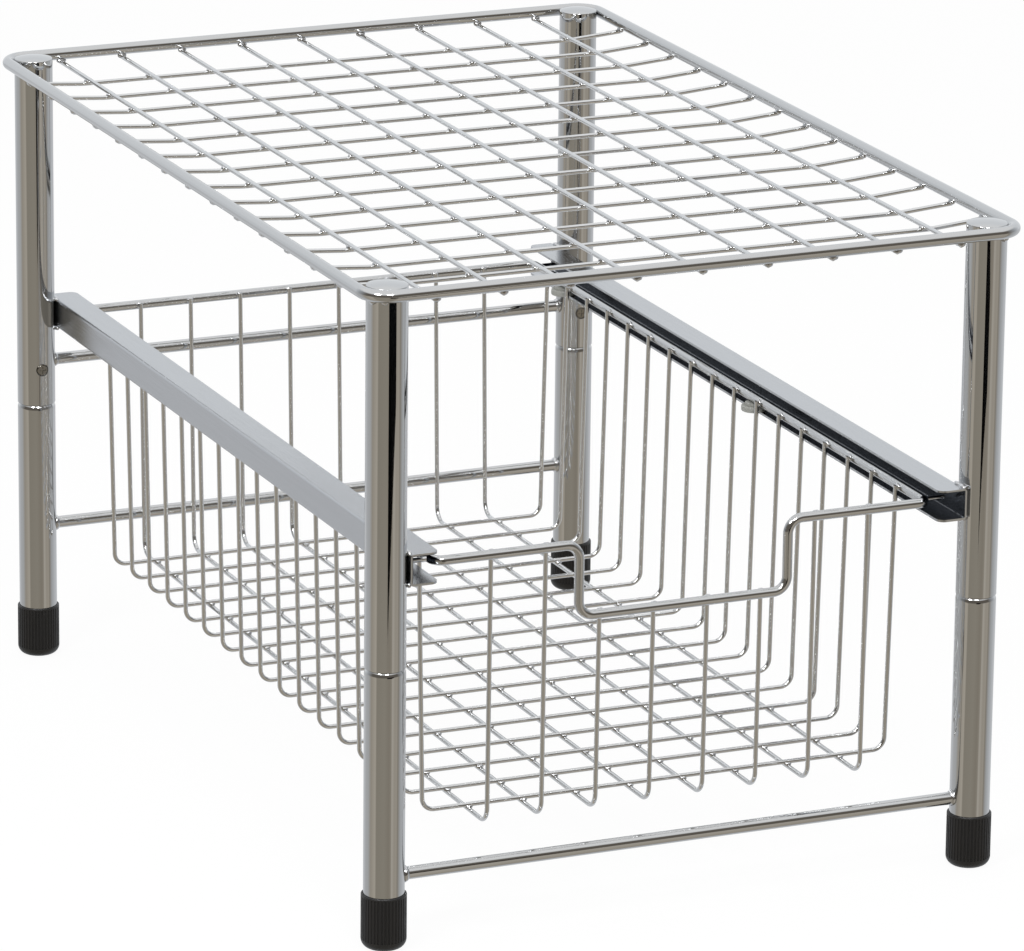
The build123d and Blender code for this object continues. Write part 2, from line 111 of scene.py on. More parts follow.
def add(tree, kind, settings=None, **inputs):
    """Add one node. Inputs are named by their sockets, with _ for a space; a socket as value is a link."""
    node = tree.nodes.new(kind)
    for key, value in (settings or {}).items():
        setattr(node, key, value)
    for key, value in inputs.items():
        if key.startswith("in") and key[2:].isdigit():
            socket = node.inputs[int(key[2:])]
        else:
            socket = next(s for s in node.inputs if s.name.replace(" ", "_") == key and s.enabled)
        if isinstance(value, bpy.types.NodeSocket):
            tree.links.new(value, socket)
        else:
            socket.default_value = value
    return node


def new_material(name):
    """An empty node material with its output and its place on the object, ready for a recipe."""
    material = bpy.data.materials.new(name)
    material.use_nodes = True
    tree = material.node_tree
    tree.nodes.clear()
    output = tree.nodes.new("ShaderNodeOutputMaterial")
    place = add(tree, "ShaderNodeTexCoord").outputs["Object"]
    return material, tree, output, place


# %% [markdown]
# ## Bright chromium plate
# Decorative chrome is a thin layer of chromium over polished nickel. It reflects a little
# over half of the light, evenly over the colours and faintly blue, so what the eye sees is
# the room. Perfect mirrors look made by a computer, so each plated surface gets what
# polishing and plating leave: a slow ripple of the tube, and a grain that is much finer on
# tube than on drawn wire. The ripple's width is written in millimetres and turned to a
# texture scale.

# %% Plated steel


def plated_steel(name, hex_colour, roughness, ripple_mm, ripple_height_mm, haze=0.03):
    """Chromium plate over steel, with a slow ripple and a faint change of gloss from place to place."""
    material, tree, output, place = new_material(name)
    ripple = add(tree, "ShaderNodeTexNoise", Vector=place, Scale=1 / (ripple_mm * MM), Detail=2.0,
                 Roughness=0.5)
    cloud = add(tree, "ShaderNodeTexNoise", Vector=place, Scale=1 / (ripple_mm * 4 * MM), Detail=3.0)
    gloss = add(tree, "ShaderNodeMapRange", Value=cloud.outputs[0], From_Min=0.3, From_Max=0.7,
                To_Min=max(roughness - haze, 0.0), To_Max=roughness + haze)
    bump = add(tree, "ShaderNodeBump", Height=ripple.outputs[0], Strength=1.0, Distance=ripple_height_mm * MM)
    shader = add(tree, "ShaderNodeBsdfPrincipled", Base_Color=linear(hex_colour), Metallic=1.0,
                 Roughness=gloss.outputs[0], Normal=bump.outputs[0])
    tree.links.new(shader.outputs[0], output.inputs[0])
    return material


# Polished tube is the smoothest; drawn wire keeps more grain under the plate.
chromed_tube = plated_steel("chromed_polished_tube", "#C9CACB", 0.045, 14.0, 0.010, haze=0.02)
chromed_rod = plated_steel("chromed_bright_rod", "#C9CACB", 0.09, 7.0, 0.010)
chromed_wire = plated_steel("chromed_drawn_wire", "#D9DADB", 0.12, 5.0, 0.010)
chromed_weld = plated_steel("chromed_spot_weld", "#CDCED0", 0.10, 1.2, 0.060)
# The screw's colour is much darker than plated nickel: painted shade of the recess that it sits in.
nickelled_screw_painted_shade = plated_steel("nickel_plated_screw", "#8E8A82", 0.16, 1.5, 0.030)
print("plated finishes:", [m.name for m in bpy.data.materials if "chromed" in m.name or "nickel" in m.name])

# %% [markdown]
# ## Folded rail sheet
# The rails are roll-formed from thin sheet and plated after forming. The broad outer faces
# are flatter and a little duller than the tube. The inside of the channel lies in deep shade,
# and that shade is painted in as an almost black colour. One material does both: it looks at
# where the surface lies, since the inside of each channel is a known box in the model.

# %% Rail sheet
rail_low, rail_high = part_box("rail_right")
RAIL_SHEET = 1.1 * MM
RAIL_EDGE = 0.25 * MM


def channel_painted_shade_mask(tree, place):
    """Painted shade: 1 on the inner faces of the channel's web and roof, and 0 on the rest of the rail."""
    parts = add(tree, "ShaderNodeSeparateXYZ", Vector=place)
    across = add(tree, "ShaderNodeMath", {"operation": "ABSOLUTE"}, in0=parts.outputs["X"])
    under_web = add(tree, "ShaderNodeMath", {"operation": "LESS_THAN"}, in0=across.outputs[0],
                    in1=rail_high.x - RAIL_SHEET + RAIL_EDGE)
    past_tip = add(tree, "ShaderNodeMath", {"operation": "GREATER_THAN"}, in0=across.outputs[0],
                   in1=rail_low.x + RAIL_EDGE)
    over_floor = add(tree, "ShaderNodeMath", {"operation": "GREATER_THAN"}, in0=parts.outputs["Z"],
                     in1=rail_low.z + RAIL_SHEET + RAIL_EDGE)
    under_roof = add(tree, "ShaderNodeMath", {"operation": "LESS_THAN"}, in0=parts.outputs["Z"],
                     in1=rail_high.z - RAIL_SHEET + RAIL_EDGE)
    result = under_web.outputs[0]
    for test in (past_tip, over_floor, under_roof):
        both = add(tree, "ShaderNodeMath", {"operation": "MULTIPLY"}, in0=result, in1=test.outputs[0])
        result = both.outputs[0]
    return result


def rail_sheet_material():
    material, tree, output, place = new_material("chromed_folded_sheet")
    inside = channel_painted_shade_mask(tree, place)
    # Rolling leaves fine lines along the rail, so the grain is stretched along Y.
    stretched = add(tree, "ShaderNodeMapping", Vector=place, Scale=(1.0, 0.02, 1.0))
    grain = add(tree, "ShaderNodeTexNoise", Vector=stretched.outputs[0], Scale=1 / (0.6 * MM), Detail=3.0)
    sag = add(tree, "ShaderNodeTexNoise", Vector=place, Scale=1 / (45 * MM), Detail=1.0)
    gloss = add(tree, "ShaderNodeMapRange", Value=grain.outputs[0], From_Min=0.3, From_Max=0.7,
                To_Min=0.17, To_Max=0.27)
    bump = add(tree, "ShaderNodeBump", Height=sag.outputs[0], Strength=1.0, Distance=0.05 * MM)
    # Painted shade: the channel's inner faces get a near-black colour in place of the shade that falls there.
    colour = add(tree, "ShaderNodeMix", {"data_type": "RGBA"}, Factor=inside,
                 A=linear("#BFC1C4"), B=linear("#3E434B"))
    shader = add(tree, "ShaderNodeBsdfPrincipled", Base_Color=colour.outputs["Result"], Metallic=1.0,
                 Roughness=gloss.outputs[0], Normal=bump.outputs[0])
    tree.links.new(shader.outputs[0], output.inputs[0])
    return material


chromed_sheet = rail_sheet_material()
print("rail web outer face at x, mm:", round(rail_high.x / MM, 1))

# %% [markdown]
# ## Moulded plastics
# The feet are black polypropylene caps pushed on the legs: matt, with a fine spark-eroded
# texture from the mould that is about a third of a millimetre across. The glides are
# natural acetal, a hard, slippery, slightly waxy off-white plastic.

# %% Plastics


def moulded_plastic(name, hex_colour, roughness, grain_mm, grain_height_mm):
    """Moulded plastic with a fine even texture and faint flow clouds in its gloss."""
    material, tree, output, place = new_material(name)
    grain = add(tree, "ShaderNodeTexNoise", Vector=place, Scale=1 / (grain_mm * MM), Detail=2.0,
                Roughness=0.6)
    flow = add(tree, "ShaderNodeTexNoise", Vector=place, Scale=1 / (9 * MM), Detail=2.0)
    gloss = add(tree, "ShaderNodeMapRange", Value=flow.outputs[0], From_Min=0.3, From_Max=0.7,
                To_Min=roughness - 0.06, To_Max=roughness + 0.06)
    bump = add(tree, "ShaderNodeBump", Height=grain.outputs[0], Strength=1.0, Distance=grain_height_mm * MM)
    shader = add(tree, "ShaderNodeBsdfPrincipled", Base_Color=linear(hex_colour), Roughness=gloss.outputs[0],
                 IOR=1.49, Normal=bump.outputs[0])
    tree.links.new(shader.outputs[0], output.inputs[0])
    return material


black_polypropylene = moulded_plastic("black_moulded_polypropylene", "#1B1B1C", 0.42, 0.35, 0.02)
natural_acetal = moulded_plastic("natural_acetal", "#9C9D98", 0.35, 0.5, 0.006)

# %% [markdown]
# ## Give the measured pieces their finish
# Tube, sheet and moulded pieces already have their true shape in the model, so they keep it
# and only take a material. The rods and wires are made again below.

# %% Finish the measured pieces
finishes = {
    "post_cap": chromed_tube,
    "post_": chromed_tube,
    "leg_screws": nickelled_screw_painted_shade,
    "leg_": chromed_tube,
    "rail_": chromed_sheet,
    "foot_": black_polypropylene,
    "glide_buttons": natural_acetal,
    "guide_pins": chromed_wire,
    "shelf": chromed_wire,
    "basket": chromed_wire,
    "rear": chromed_rod,
    "front": chromed_rod,
}


def finish_node(name, material):
    """Put one material on a measured piece."""
    mesh = nodes[name].data
    mesh.materials.clear()
    mesh.materials.append(material)


for name in nodes:
    start = next(key for key in finishes if name.startswith(key))
    finish_node(name, finishes[start])
print("finished nodes:", len(nodes))

# %% [markdown]
# ## A bent wire, drawn once and repeated
# A factory bends one wire after the other on the same jig, so every wire of a row is the
# same. Geometry Nodes say that directly: the centre line of one wire is drawn with sharp
# corners, Fillet Curve bends the corners to the jig's radius, Curve to Mesh gives the line
# its round section, and the result is set down again and again at a fixed spacing. Modelling
# each wire by hand would take dozens of curves and drift apart with every change.

# %% Geometry node recipe for rows of wires


def new_recipe(name, **sockets):
    """An empty geometry node tree with named inputs. Values are (socket type, default)."""
    tree = bpy.data.node_groups.new(name, "GeometryNodeTree")
    tree.interface.new_socket("Geometry", in_out="INPUT", socket_type="NodeSocketGeometry")
    tree.interface.new_socket("Geometry", in_out="OUTPUT", socket_type="NodeSocketGeometry")
    for key, kind in sockets.items():
        tree.interface.new_socket(key.replace("_", " "), in_out="INPUT", socket_type="NodeSocket" + kind)
    return tree, tree.nodes.new("NodeGroupInput"), tree.nodes.new("NodeGroupOutput")


def wire_row_recipe():
    tree, given, result = new_recipe(
        "row_of_bent_wires", Wire_Radius="Float", Section_Sides="Int", Bend_Steps="Int",
        Count="Int", First="Vector", Spacing="Vector", Material="Material")
    bend = add(tree, "GeometryNodeInputRadius")
    # Each corner of the drawn line carries its own bend radius in the curve's radius.
    bent = add(tree, "GeometryNodeFilletCurve", {"mode": "POLY"}, Curve=given.outputs["Geometry"],
               Count=given.outputs["Bend Steps"], Radius=bend.outputs[0], Limit_Radius=True)
    section = add(tree, "GeometryNodeCurvePrimitiveCircle", Resolution=given.outputs["Section Sides"],
                  Radius=given.outputs["Wire Radius"])
    wire = add(tree, "GeometryNodeCurveToMesh", Curve=bent.outputs[0], Profile_Curve=section.outputs[0],
               Fill_Caps=True)
    places = add(tree, "GeometryNodeMeshLine", {"mode": "OFFSET"}, Count=given.outputs["Count"],
                 Start_Location=given.outputs["First"], Offset=given.outputs["Spacing"])
    row = add(tree, "GeometryNodeInstanceOnPoints", Points=places.outputs[0], Instance=wire.outputs[0])
    real = add(tree, "GeometryNodeRealizeInstances", Geometry=row.outputs[0])
    smooth = add(tree, "GeometryNodeSetShadeSmooth", Geometry=real.outputs[0])
    finished = add(tree, "GeometryNodeSetMaterial", Geometry=smooth.outputs[0],
                   Material=given.outputs["Material"])
    tree.links.new(finished.outputs[0], result.inputs[0])
    return tree


wire_row = wire_row_recipe()
print("inputs:", [item.name for item in wire_row.interface.items_tree if item.in_out == "INPUT"])

# %% [markdown]
# A modifier's inputs are set by the socket's identifier. Once they are set, the evaluated
# object is turned into a plain mesh, and the helper object with its modifier goes away, so
# what stays is a simple piece that rides on its body.

# %% Draw a line, run a recipe, keep a mesh


def drawn_lines(name, lines, closed=False):
    """A curve object of sharp-cornered lines. A line is a list of (place, bend radius), in metres."""
    curve = bpy.data.curves.new(name + "_line", "CURVE")
    curve.dimensions = "3D"
    for line in lines:
        spline = curve.splines.new("POLY")
        spline.points.add(len(line) - 1)
        for point, (place, bend) in zip(spline.points, line):
            point.co = (*place, 1)
            point.radius = bend
        spline.use_cyclic_u = closed
    return bpy.data.objects.new(name + "_line", curve)


def run_recipe(name, source, tree, **values):
    """Evaluate a geometry node recipe on source and return a plain mesh object at the origin."""
    scene.collection.objects.link(source)
    modifier = source.modifiers.new("recipe", "NODES")
    modifier.node_group = tree
    for item in tree.interface.items_tree:
        key = item.name.replace(" ", "_")
        if item.in_out == "INPUT" and key in values:
            modifier[item.identifier] = values[key]
    bpy.context.view_layer.update()
    mesh = bpy.data.meshes.new_from_object(source.evaluated_get(bpy.context.evaluated_depsgraph_get()))
    mesh.name = name
    bpy.data.objects.remove(source)
    piece = bpy.data.objects.new(name, mesh)
    scene.collection.objects.link(piece)
    print(name, "faces:", len(mesh.polygons))
    return piece


def keep(piece, body, slot, *stands_for):
    """Let a piece ride on its body, and hide the measured pieces that it stands for."""
    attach(piece, body)
    if stands_for:
        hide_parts(*stands_for)


# %% [markdown]
# ## The shelf's wires
# Nine wires run from front to rear, straight, under the rim. Fourteen wires cross under
# them, and slope up past the outermost ones, so that they also meet the rim from below. The
# counts are read off the photograph and the spacing comes from the model's box.

# %% Shelf wires
SHELF_LONG_COUNT = 9
SHELF_CROSS_COUNT = 14
SHELF_BEND_OFFSET = 3.0 * MM
SHELF_BEND = 60.0 * MM
WIRE_STOP = 0.8 * MM

long_low, long_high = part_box("shelf_long_wires")
cross_low, cross_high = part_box("shelf_cross_wires")
rim_low, rim_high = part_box("shelf_rim")
WIRE_RADIUS = (long_high.z - long_low.z) / 2
SHELF_RIM_RADIUS = (rim_high.z - rim_low.z) / 2
shelf_long_z = long_low.z + WIRE_RADIUS
shelf_cross_z = cross_low.z + WIRE_RADIUS
shelf_long_reach = long_high.x - WIRE_RADIUS
shelf_cross_reach = cross_high.y - WIRE_RADIUS
shelf_long_pitch = 2 * shelf_long_reach / (SHELF_LONG_COUNT - 1)
shelf_cross_pitch = 2 * shelf_cross_reach / (SHELF_CROSS_COUNT - 1)
print("wire, mm:", round(2 * WIRE_RADIUS / MM, 2), "spacing:", round(shelf_long_pitch / MM, 1),
      round(shelf_cross_pitch / MM, 1))

rim_x = rim_high.x - SHELF_RIM_RADIUS
rim_y = rim_high.y - SHELF_RIM_RADIUS
# A wire is pressed into the rim's underside, so it stops a little short of the centre line.
long_line = [((0, WIRE_STOP - rim_y, shelf_long_z), 0), ((0, rim_y - WIRE_STOP, shelf_long_z), 0)]
shelf_long_wires = run_recipe(
    "shelf_front_to_rear_wires", drawn_lines("shelf_long", [long_line]), wire_row,
    Wire_Radius=WIRE_RADIUS, Section_Sides=20, Bend_Steps=1, Count=SHELF_LONG_COUNT,
    First=(-shelf_long_reach, 0, 0), Spacing=(shelf_long_pitch, 0, 0), Material=chromed_wire)
keep(shelf_long_wires, "frame", "chrome_wire", "shelf_long_wires")

shelf_bend_x = shelf_long_reach + SHELF_BEND_OFFSET
slope = math.atan2(shelf_long_z - shelf_cross_z, rim_x - shelf_bend_x)
meeting_z = rim_low.z + SHELF_RIM_RADIUS - (SHELF_RIM_RADIUS + WIRE_RADIUS) / math.cos(slope)
cross_line = [
    ((WIRE_STOP - rim_x, 0, meeting_z), 0), ((-shelf_bend_x, 0, shelf_cross_z), SHELF_BEND),
    ((shelf_bend_x, 0, shelf_cross_z), SHELF_BEND), ((rim_x - WIRE_STOP, 0, meeting_z), 0),
]
shelf_cross_wires = run_recipe(
    "shelf_side_to_side_wires", drawn_lines("shelf_cross", [cross_line]), wire_row,
    Wire_Radius=WIRE_RADIUS, Section_Sides=20, Bend_Steps=4, Count=SHELF_CROSS_COUNT,
    First=(0, -shelf_cross_reach, 0), Spacing=(0, shelf_cross_pitch, 0), Material=chromed_wire)
keep(shelf_cross_wires, "frame", "chrome_wire", "shelf_cross_wires")

# %% [markdown]
# ## The two rims
# Each rim is one thick rod, bent and butt-welded to a ring. The shelf's rim wraps the posts,
# so its corners are bent to the post's radius. The basket's rim dips in the middle of the
# front, which makes room for the hand. The same recipe makes them, with a count of one.

# %% Rims
post_low, post_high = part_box("post_front_right")
POST_RADIUS = (post_high.x - post_low.x) / 2
shelf_rim_z = rim_low.z + SHELF_RIM_RADIUS
shelf_corner = POST_RADIUS + SHELF_RIM_RADIUS
shelf_rim_line = [
    ((0, rim_y, shelf_rim_z), 0), ((rim_x, rim_y, shelf_rim_z), shelf_corner),
    ((rim_x, -rim_y, shelf_rim_z), shelf_corner),
    ((-rim_x, -rim_y, shelf_rim_z), shelf_corner),
    ((-rim_x, rim_y, shelf_rim_z), shelf_corner),
]
shelf_rim = run_recipe(
    "shelf_rim_rod", drawn_lines("shelf_rim", [shelf_rim_line], closed=True), wire_row,
    Wire_Radius=SHELF_RIM_RADIUS, Section_Sides=48, Bend_Steps=24, Count=1, Material=chromed_rod)
keep(shelf_rim, "frame", "chrome_rod", "shelf_rim")

BASKET_RIM_RADIUS = 2.3 * MM
BASKET_CORNER = 5.0 * MM
DIP_HALF_WIDTH = 52.3 * MM
DIP_BEND = 7.0 * MM
basket_low, basket_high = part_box("basket_rim")
basket_rim_x = basket_high.x - BASKET_RIM_RADIUS
basket_rim_y = basket_high.y - BASKET_RIM_RADIUS
basket_rim_z = basket_high.z - BASKET_RIM_RADIUS
dip_z = basket_low.z + BASKET_RIM_RADIUS
basket_rim_line = [
    ((0, basket_rim_y, basket_rim_z), 0), ((basket_rim_x, basket_rim_y, basket_rim_z), BASKET_CORNER),
    ((basket_rim_x, -basket_rim_y, basket_rim_z), BASKET_CORNER),
    ((DIP_HALF_WIDTH, -basket_rim_y, basket_rim_z), DIP_BEND),
    ((DIP_HALF_WIDTH, -basket_rim_y, dip_z), DIP_BEND),
    ((-DIP_HALF_WIDTH, -basket_rim_y, dip_z), DIP_BEND),
    ((-DIP_HALF_WIDTH, -basket_rim_y, basket_rim_z), DIP_BEND),
    ((-basket_rim_x, -basket_rim_y, basket_rim_z), BASKET_CORNER),
    ((-basket_rim_x, basket_rim_y, basket_rim_z), BASKET_CORNER),
]
basket_rim = run_recipe(
    "basket_rim_rod", drawn_lines("basket_rim", [basket_rim_line], closed=True), wire_row,
    Wire_Radius=BASKET_RIM_RADIUS, Section_Sides=40, Bend_Steps=16, Count=1, Material=chromed_rod)
keep(basket_rim, "basket", "chrome_rod", "basket_rim")

# %% [markdown]
# ## The basket's wires
# The basket is woven from two rows of U shapes. Seventeen go from side to side and form the
# side walls; eight go from front to rear under them. All lean in a little towards the
# bottom, as drawn wire baskets do so that they stack in the factory. The four in the middle
# of the front are shorter, because they end at the dip.

# %% Basket wires
BASKET_CROSS_COUNT = 17
BASKET_CROSS_TAPER = 2.5 * MM
BASKET_CROSS_BEND = 6.0 * MM
BASKET_LONG_PITCH = 27.0 * MM
BASKET_FRONT_TAPER = 1.6 * MM
BASKET_REAR_TAPER = 4.1 * MM
BASKET_LONG_BEND = 7.5 * MM
WIRE_RISE = 1.3 * MM

u_low, u_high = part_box("basket_cross_wires")
v_low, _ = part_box("basket_long_wires")
cross_bottom_z = u_low.z + WIRE_RADIUS
long_bottom_z = v_low.z + WIRE_RADIUS
cross_reach = u_high.y - WIRE_RADIUS
cross_pitch = 2 * cross_reach / (BASKET_CROSS_COUNT - 1)
rim_to_wire = BASKET_RIM_RADIUS + WIRE_RADIUS
cross_top_x = basket_rim_x - rim_to_wire
long_top_y = basket_rim_y - rim_to_wire
wire_end_z = basket_rim_z + WIRE_RISE


def lean(top, bottom, rim_z, bottom_z, z):
    """Where a leaning wire is at height z, when it is at top by the rim and at bottom below."""
    return top + (top - bottom) * (z - rim_z) / (rim_z - bottom_z)


cross_bottom_x = cross_top_x - BASKET_CROSS_TAPER
cross_end_x = lean(cross_top_x, cross_bottom_x, basket_rim_z, cross_bottom_z, wire_end_z)
u_line = [
    ((-cross_end_x, 0, wire_end_z), 0), ((-cross_bottom_x, 0, cross_bottom_z), BASKET_CROSS_BEND),
    ((cross_bottom_x, 0, cross_bottom_z), BASKET_CROSS_BEND), ((cross_end_x, 0, wire_end_z), 0),
]
basket_cross_wires = run_recipe(
    "basket_side_to_side_wires", drawn_lines("basket_cross", [u_line]), wire_row,
    Wire_Radius=WIRE_RADIUS, Section_Sides=20, Bend_Steps=12, Count=BASKET_CROSS_COUNT,
    First=(0, cross_reach, 0), Spacing=(0, -cross_pitch, 0), Material=chromed_wire)
keep(basket_cross_wires, "basket", "chrome_wire", "basket_cross_wires")


def front_to_rear_line(x, front_rim_z):
    """The centre line of one long wire, whose front ends at the height of the rim there."""
    front_bottom = -long_top_y + BASKET_FRONT_TAPER
    rear_bottom = long_top_y - BASKET_REAR_TAPER
    front_end = front_rim_z + WIRE_RISE
    front_end_y = lean(-long_top_y, front_bottom, front_rim_z, long_bottom_z, front_end)
    rear_end_y = lean(long_top_y, rear_bottom, basket_rim_z, long_bottom_z, wire_end_z)
    return [
        ((x, front_end_y, front_end), 0), ((x, front_bottom, long_bottom_z), BASKET_LONG_BEND),
        ((x, rear_bottom, long_bottom_z), BASKET_LONG_BEND), ((x, rear_end_y, wire_end_z), 0),
    ]


# Two full wires stand on each side, and four dipped ones in the middle, at one spacing.
full_lines = [front_to_rear_line(side * 3 * BASKET_LONG_PITCH, basket_rim_z) for side in (-1, 1)]
full_wires = run_recipe(
    "basket_front_to_rear_wires", drawn_lines("basket_full", full_lines), wire_row,
    Wire_Radius=WIRE_RADIUS, Section_Sides=20, Bend_Steps=12, Count=2,
    First=(-BASKET_LONG_PITCH / 2, 0, 0), Spacing=(BASKET_LONG_PITCH, 0, 0), Material=chromed_wire)
dipped_wires = run_recipe(
    "basket_dipped_wires", drawn_lines("basket_dipped", [front_to_rear_line(0, dip_z)]), wire_row,
    Wire_Radius=WIRE_RADIUS, Section_Sides=20, Bend_Steps=12, Count=4,
    First=(-1.5 * BASKET_LONG_PITCH, 0, 0), Spacing=(BASKET_LONG_PITCH, 0, 0), Material=chromed_wire)
keep(full_wires, "basket", "chrome_wire", "basket_long_wires")
keep(dipped_wires, "basket", "chrome_wire", "basket_long_wires")

# %% [markdown]
# ## Spot welds
# The wires are joined by resistance welding: two electrodes press a crossing together, a
# current melts the contact, and a small bead of steel squeezes out all round. Under the
# plating each bead is a bright little lump, and each lump catches both softboxes, which is
# what makes a welded basket glitter. There are more than three hundred, so one recipe sets a
# lump on every place of a list, turns the ones at the crossings at random, and roughens all
# of them with one noise field, so that no two are alike.

# %% Geometry node recipe for beads


def bead_recipe():
    tree, given, result = new_recipe(
        "weld_beads", Half_Size="Vector", Lump_Height="Float", Lump_Scale="Float", Turn="Float",
        Material="Material")
    ball = add(tree, "GeometryNodeMeshIcoSphere", Radius=1.0, Subdivisions=4)
    squashed = add(tree, "GeometryNodeTransform", Geometry=ball.outputs[0], Scale=given.outputs["Half Size"])
    back = add(tree, "ShaderNodeMath", {"operation": "MULTIPLY"}, in0=given.outputs["Turn"], in1=-1.0)
    low = add(tree, "ShaderNodeCombineXYZ", Z=back.outputs[0])
    high = add(tree, "ShaderNodeCombineXYZ", Z=given.outputs["Turn"])
    turn = add(tree, "FunctionNodeRandomValue", {"data_type": "FLOAT_VECTOR"}, Min=low.outputs[0],
               Max=high.outputs[0], Seed=3)
    size = add(tree, "FunctionNodeRandomValue", {"data_type": "FLOAT_VECTOR"}, Min=(0.88, 0.88, 0.92),
               Max=(1.1, 1.1, 1.04), Seed=5)
    lumps = add(tree, "GeometryNodeInstanceOnPoints", Points=given.outputs["Geometry"],
                Instance=squashed.outputs[0], Rotation=turn.outputs[0], Scale=size.outputs[0])
    real = add(tree, "GeometryNodeRealizeInstances", Geometry=lumps.outputs[0])
    field = add(tree, "ShaderNodeTexNoise", Scale=given.outputs["Lump Scale"], Detail=1.0)
    centred = add(tree, "ShaderNodeMath", {"operation": "SUBTRACT"}, in0=field.outputs[0], in1=0.5)
    height = add(tree, "ShaderNodeMath", {"operation": "MULTIPLY"}, in0=centred.outputs[0],
                 in1=given.outputs["Lump Height"])
    outward = tree.nodes.new("GeometryNodeInputNormal")
    offset = add(tree, "ShaderNodeVectorMath", {"operation": "SCALE"}, in0=outward.outputs[0],
                 Scale=height.outputs[0])
    lumpy = add(tree, "GeometryNodeSetPosition", Geometry=real.outputs[0], Offset=offset.outputs[0])
    smooth = add(tree, "GeometryNodeSetShadeSmooth", Geometry=lumpy.outputs[0])
    finished = add(tree, "GeometryNodeSetMaterial", Geometry=smooth.outputs[0],
                   Material=given.outputs["Material"])
    tree.links.new(finished.outputs[0], result.inputs[0])
    return tree


weld_beads = bead_recipe()
BEAD_LUMP_SCALE = 1 / (1.6 * MM)


def beads(name, places, half_size_mm, body, lump_mm=0.5, turn=0.0):
    """Set a lumpy bead on every place. The half sizes are along X, Y and Z; turn is in degrees."""
    mesh = bpy.data.meshes.new(name + "_places")
    mesh.from_pydata([tuple(place) for place in places], [], [])
    source = bpy.data.objects.new(name + "_places", mesh)
    piece = run_recipe(name, source, weld_beads, Half_Size=Vector(half_size_mm) * MM,
                       Lump_Height=lump_mm * MM, Lump_Scale=BEAD_LUMP_SCALE, Turn=math.radians(turn),
                       Material=chromed_weld)
    keep(piece, body, "chrome_wire")


# %% [markdown]
# The places follow from the rows of wires: every crossing, every wire end at a rim. The
# crossings' beads are a little wider than the wires, so they show in the four corners. The
# ends' beads sit between the wire and the rod that it was pressed on.

# %% Weld the wires
BASKET_LONG_COUNT = 8
CROSSING_BEAD = (1.85, 1.85, 1.35)
FREE_TURN = 180
SHELF_END_RISE = 0.75 * MM
BASKET_END_RISE = 0.4 * MM


def row(count, pitch):
    """The places of a row of wires that is centred on 0."""
    return [(i - (count - 1) / 2) * pitch for i in range(count)]


shelf_x = row(SHELF_LONG_COUNT, shelf_long_pitch)
shelf_y = row(SHELF_CROSS_COUNT, shelf_cross_pitch)
basket_x = row(BASKET_LONG_COUNT, BASKET_LONG_PITCH)
basket_y = row(BASKET_CROSS_COUNT, cross_pitch)
shelf_contact_z = shelf_long_z - WIRE_RADIUS
basket_contact_z = cross_bottom_z - WIRE_RADIUS
beads("shelf_crossing_welds", [(x, y, shelf_contact_z) for x in shelf_x for y in shelf_y],
      CROSSING_BEAD, "frame", turn=FREE_TURN)
beads("basket_crossing_welds", [(x, y, basket_contact_z) for x in basket_x for y in basket_y],
      CROSSING_BEAD, "basket", turn=FREE_TURN)
end_y = rim_y - WIRE_STOP
end_x = rim_x - WIRE_STOP
beads("shelf_front_and_rear_welds",
      [(x, side * end_y, shelf_long_z + SHELF_END_RISE) for x in shelf_x for side in (-1, 1)],
      (2.3, 1.5, 1.5), "frame")
beads("shelf_side_welds",
      [(side * end_x, y, meeting_z + SHELF_END_RISE) for y in shelf_y for side in (-1, 1)],
      (1.5, 2.3, 1.5), "frame")
rim_weld_z = basket_rim_z + BASKET_END_RISE
inner_x = basket_rim_x - BASKET_RIM_RADIUS
inner_y = basket_rim_y - BASKET_RIM_RADIUS
beads("basket_side_welds", [(side * inner_x, y, rim_weld_z) for y in basket_y for side in (-1, 1)],
      (1.2, 1.8, 1.7), "basket")
front_z = [dip_z if abs(x) < 2 * BASKET_LONG_PITCH else basket_rim_z for x in basket_x]
front_ends = [(x, -inner_y, z + BASKET_END_RISE) for x, z in zip(basket_x, front_z)]
rear_ends = [(x, inner_y, rim_weld_z) for x in basket_x]
beads("basket_front_and_rear_welds", front_ends + rear_ends, (1.8, 1.2, 1.7), "basket")

# %% [markdown]
# Rods and rails are welded to the posts by hand, with a torch, so their beads are larger and
# less even: a collar round each crossbar's end, two short seams where the rim hugs each post,
# and seams over and under each rail's web.

# %% Weld the frame
SEAM_ANGLE = 62
SEAM_STAND_OFF = 0.5 * MM
SEAM_RISE = 0.3 * MM
RAIL_SEAM_HALF_GAP = 2.2 * MM
RAIL_SEAM_SINK = 0.4 * MM
POST_X = (post_low.x + post_high.x) / 2
POST_Y = -(post_low.y + post_high.y) / 2
corner_signs = [(sx, sy) for sx in (-1, 1) for sy in (-1, 1)]
bar_names = ("rear_upper_crossbar", "rear_lower_crossbar", "front_lower_crossbar")
bar_middles = [(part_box(name)[0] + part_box(name)[1]) / 2 for name in bar_names]
collar_x = POST_X - POST_RADIUS
collars = [(side * collar_x, mid.y, mid.z) for mid in bar_middles for side in (-1, 1)]
beads("crossbar_collar_welds", collars, (2.6, 4.0, 4.0), "frame", lump_mm=0.5)
ring = POST_RADIUS + SEAM_STAND_OFF
lean_in = math.cos(math.radians(SEAM_ANGLE))
lean_out = math.sin(math.radians(SEAM_ANGLE))
seams = [(sx * (POST_X + ring * a), sy * (POST_Y + ring * b), rim_low.z + SEAM_RISE)
         for sx, sy in corner_signs for a, b in ((lean_in, lean_out), (lean_out, lean_in))]
beads("rim_to_post_welds", seams, (1.9, 1.9, 2.6), "frame", lump_mm=0.7)
rail_seams = [(sx * (rail_high.x - RAIL_SEAM_SINK), sy * (POST_Y + along), z)
              for sx, sy in corner_signs for along in (-RAIL_SEAM_HALF_GAP, RAIL_SEAM_HALF_GAP)
              for z in (rail_low.z, rail_high.z - SEAM_RISE)]
beads("rail_to_post_welds", rail_seams, (1.5, 3.0, 1.5), "frame", lump_mm=0.6)

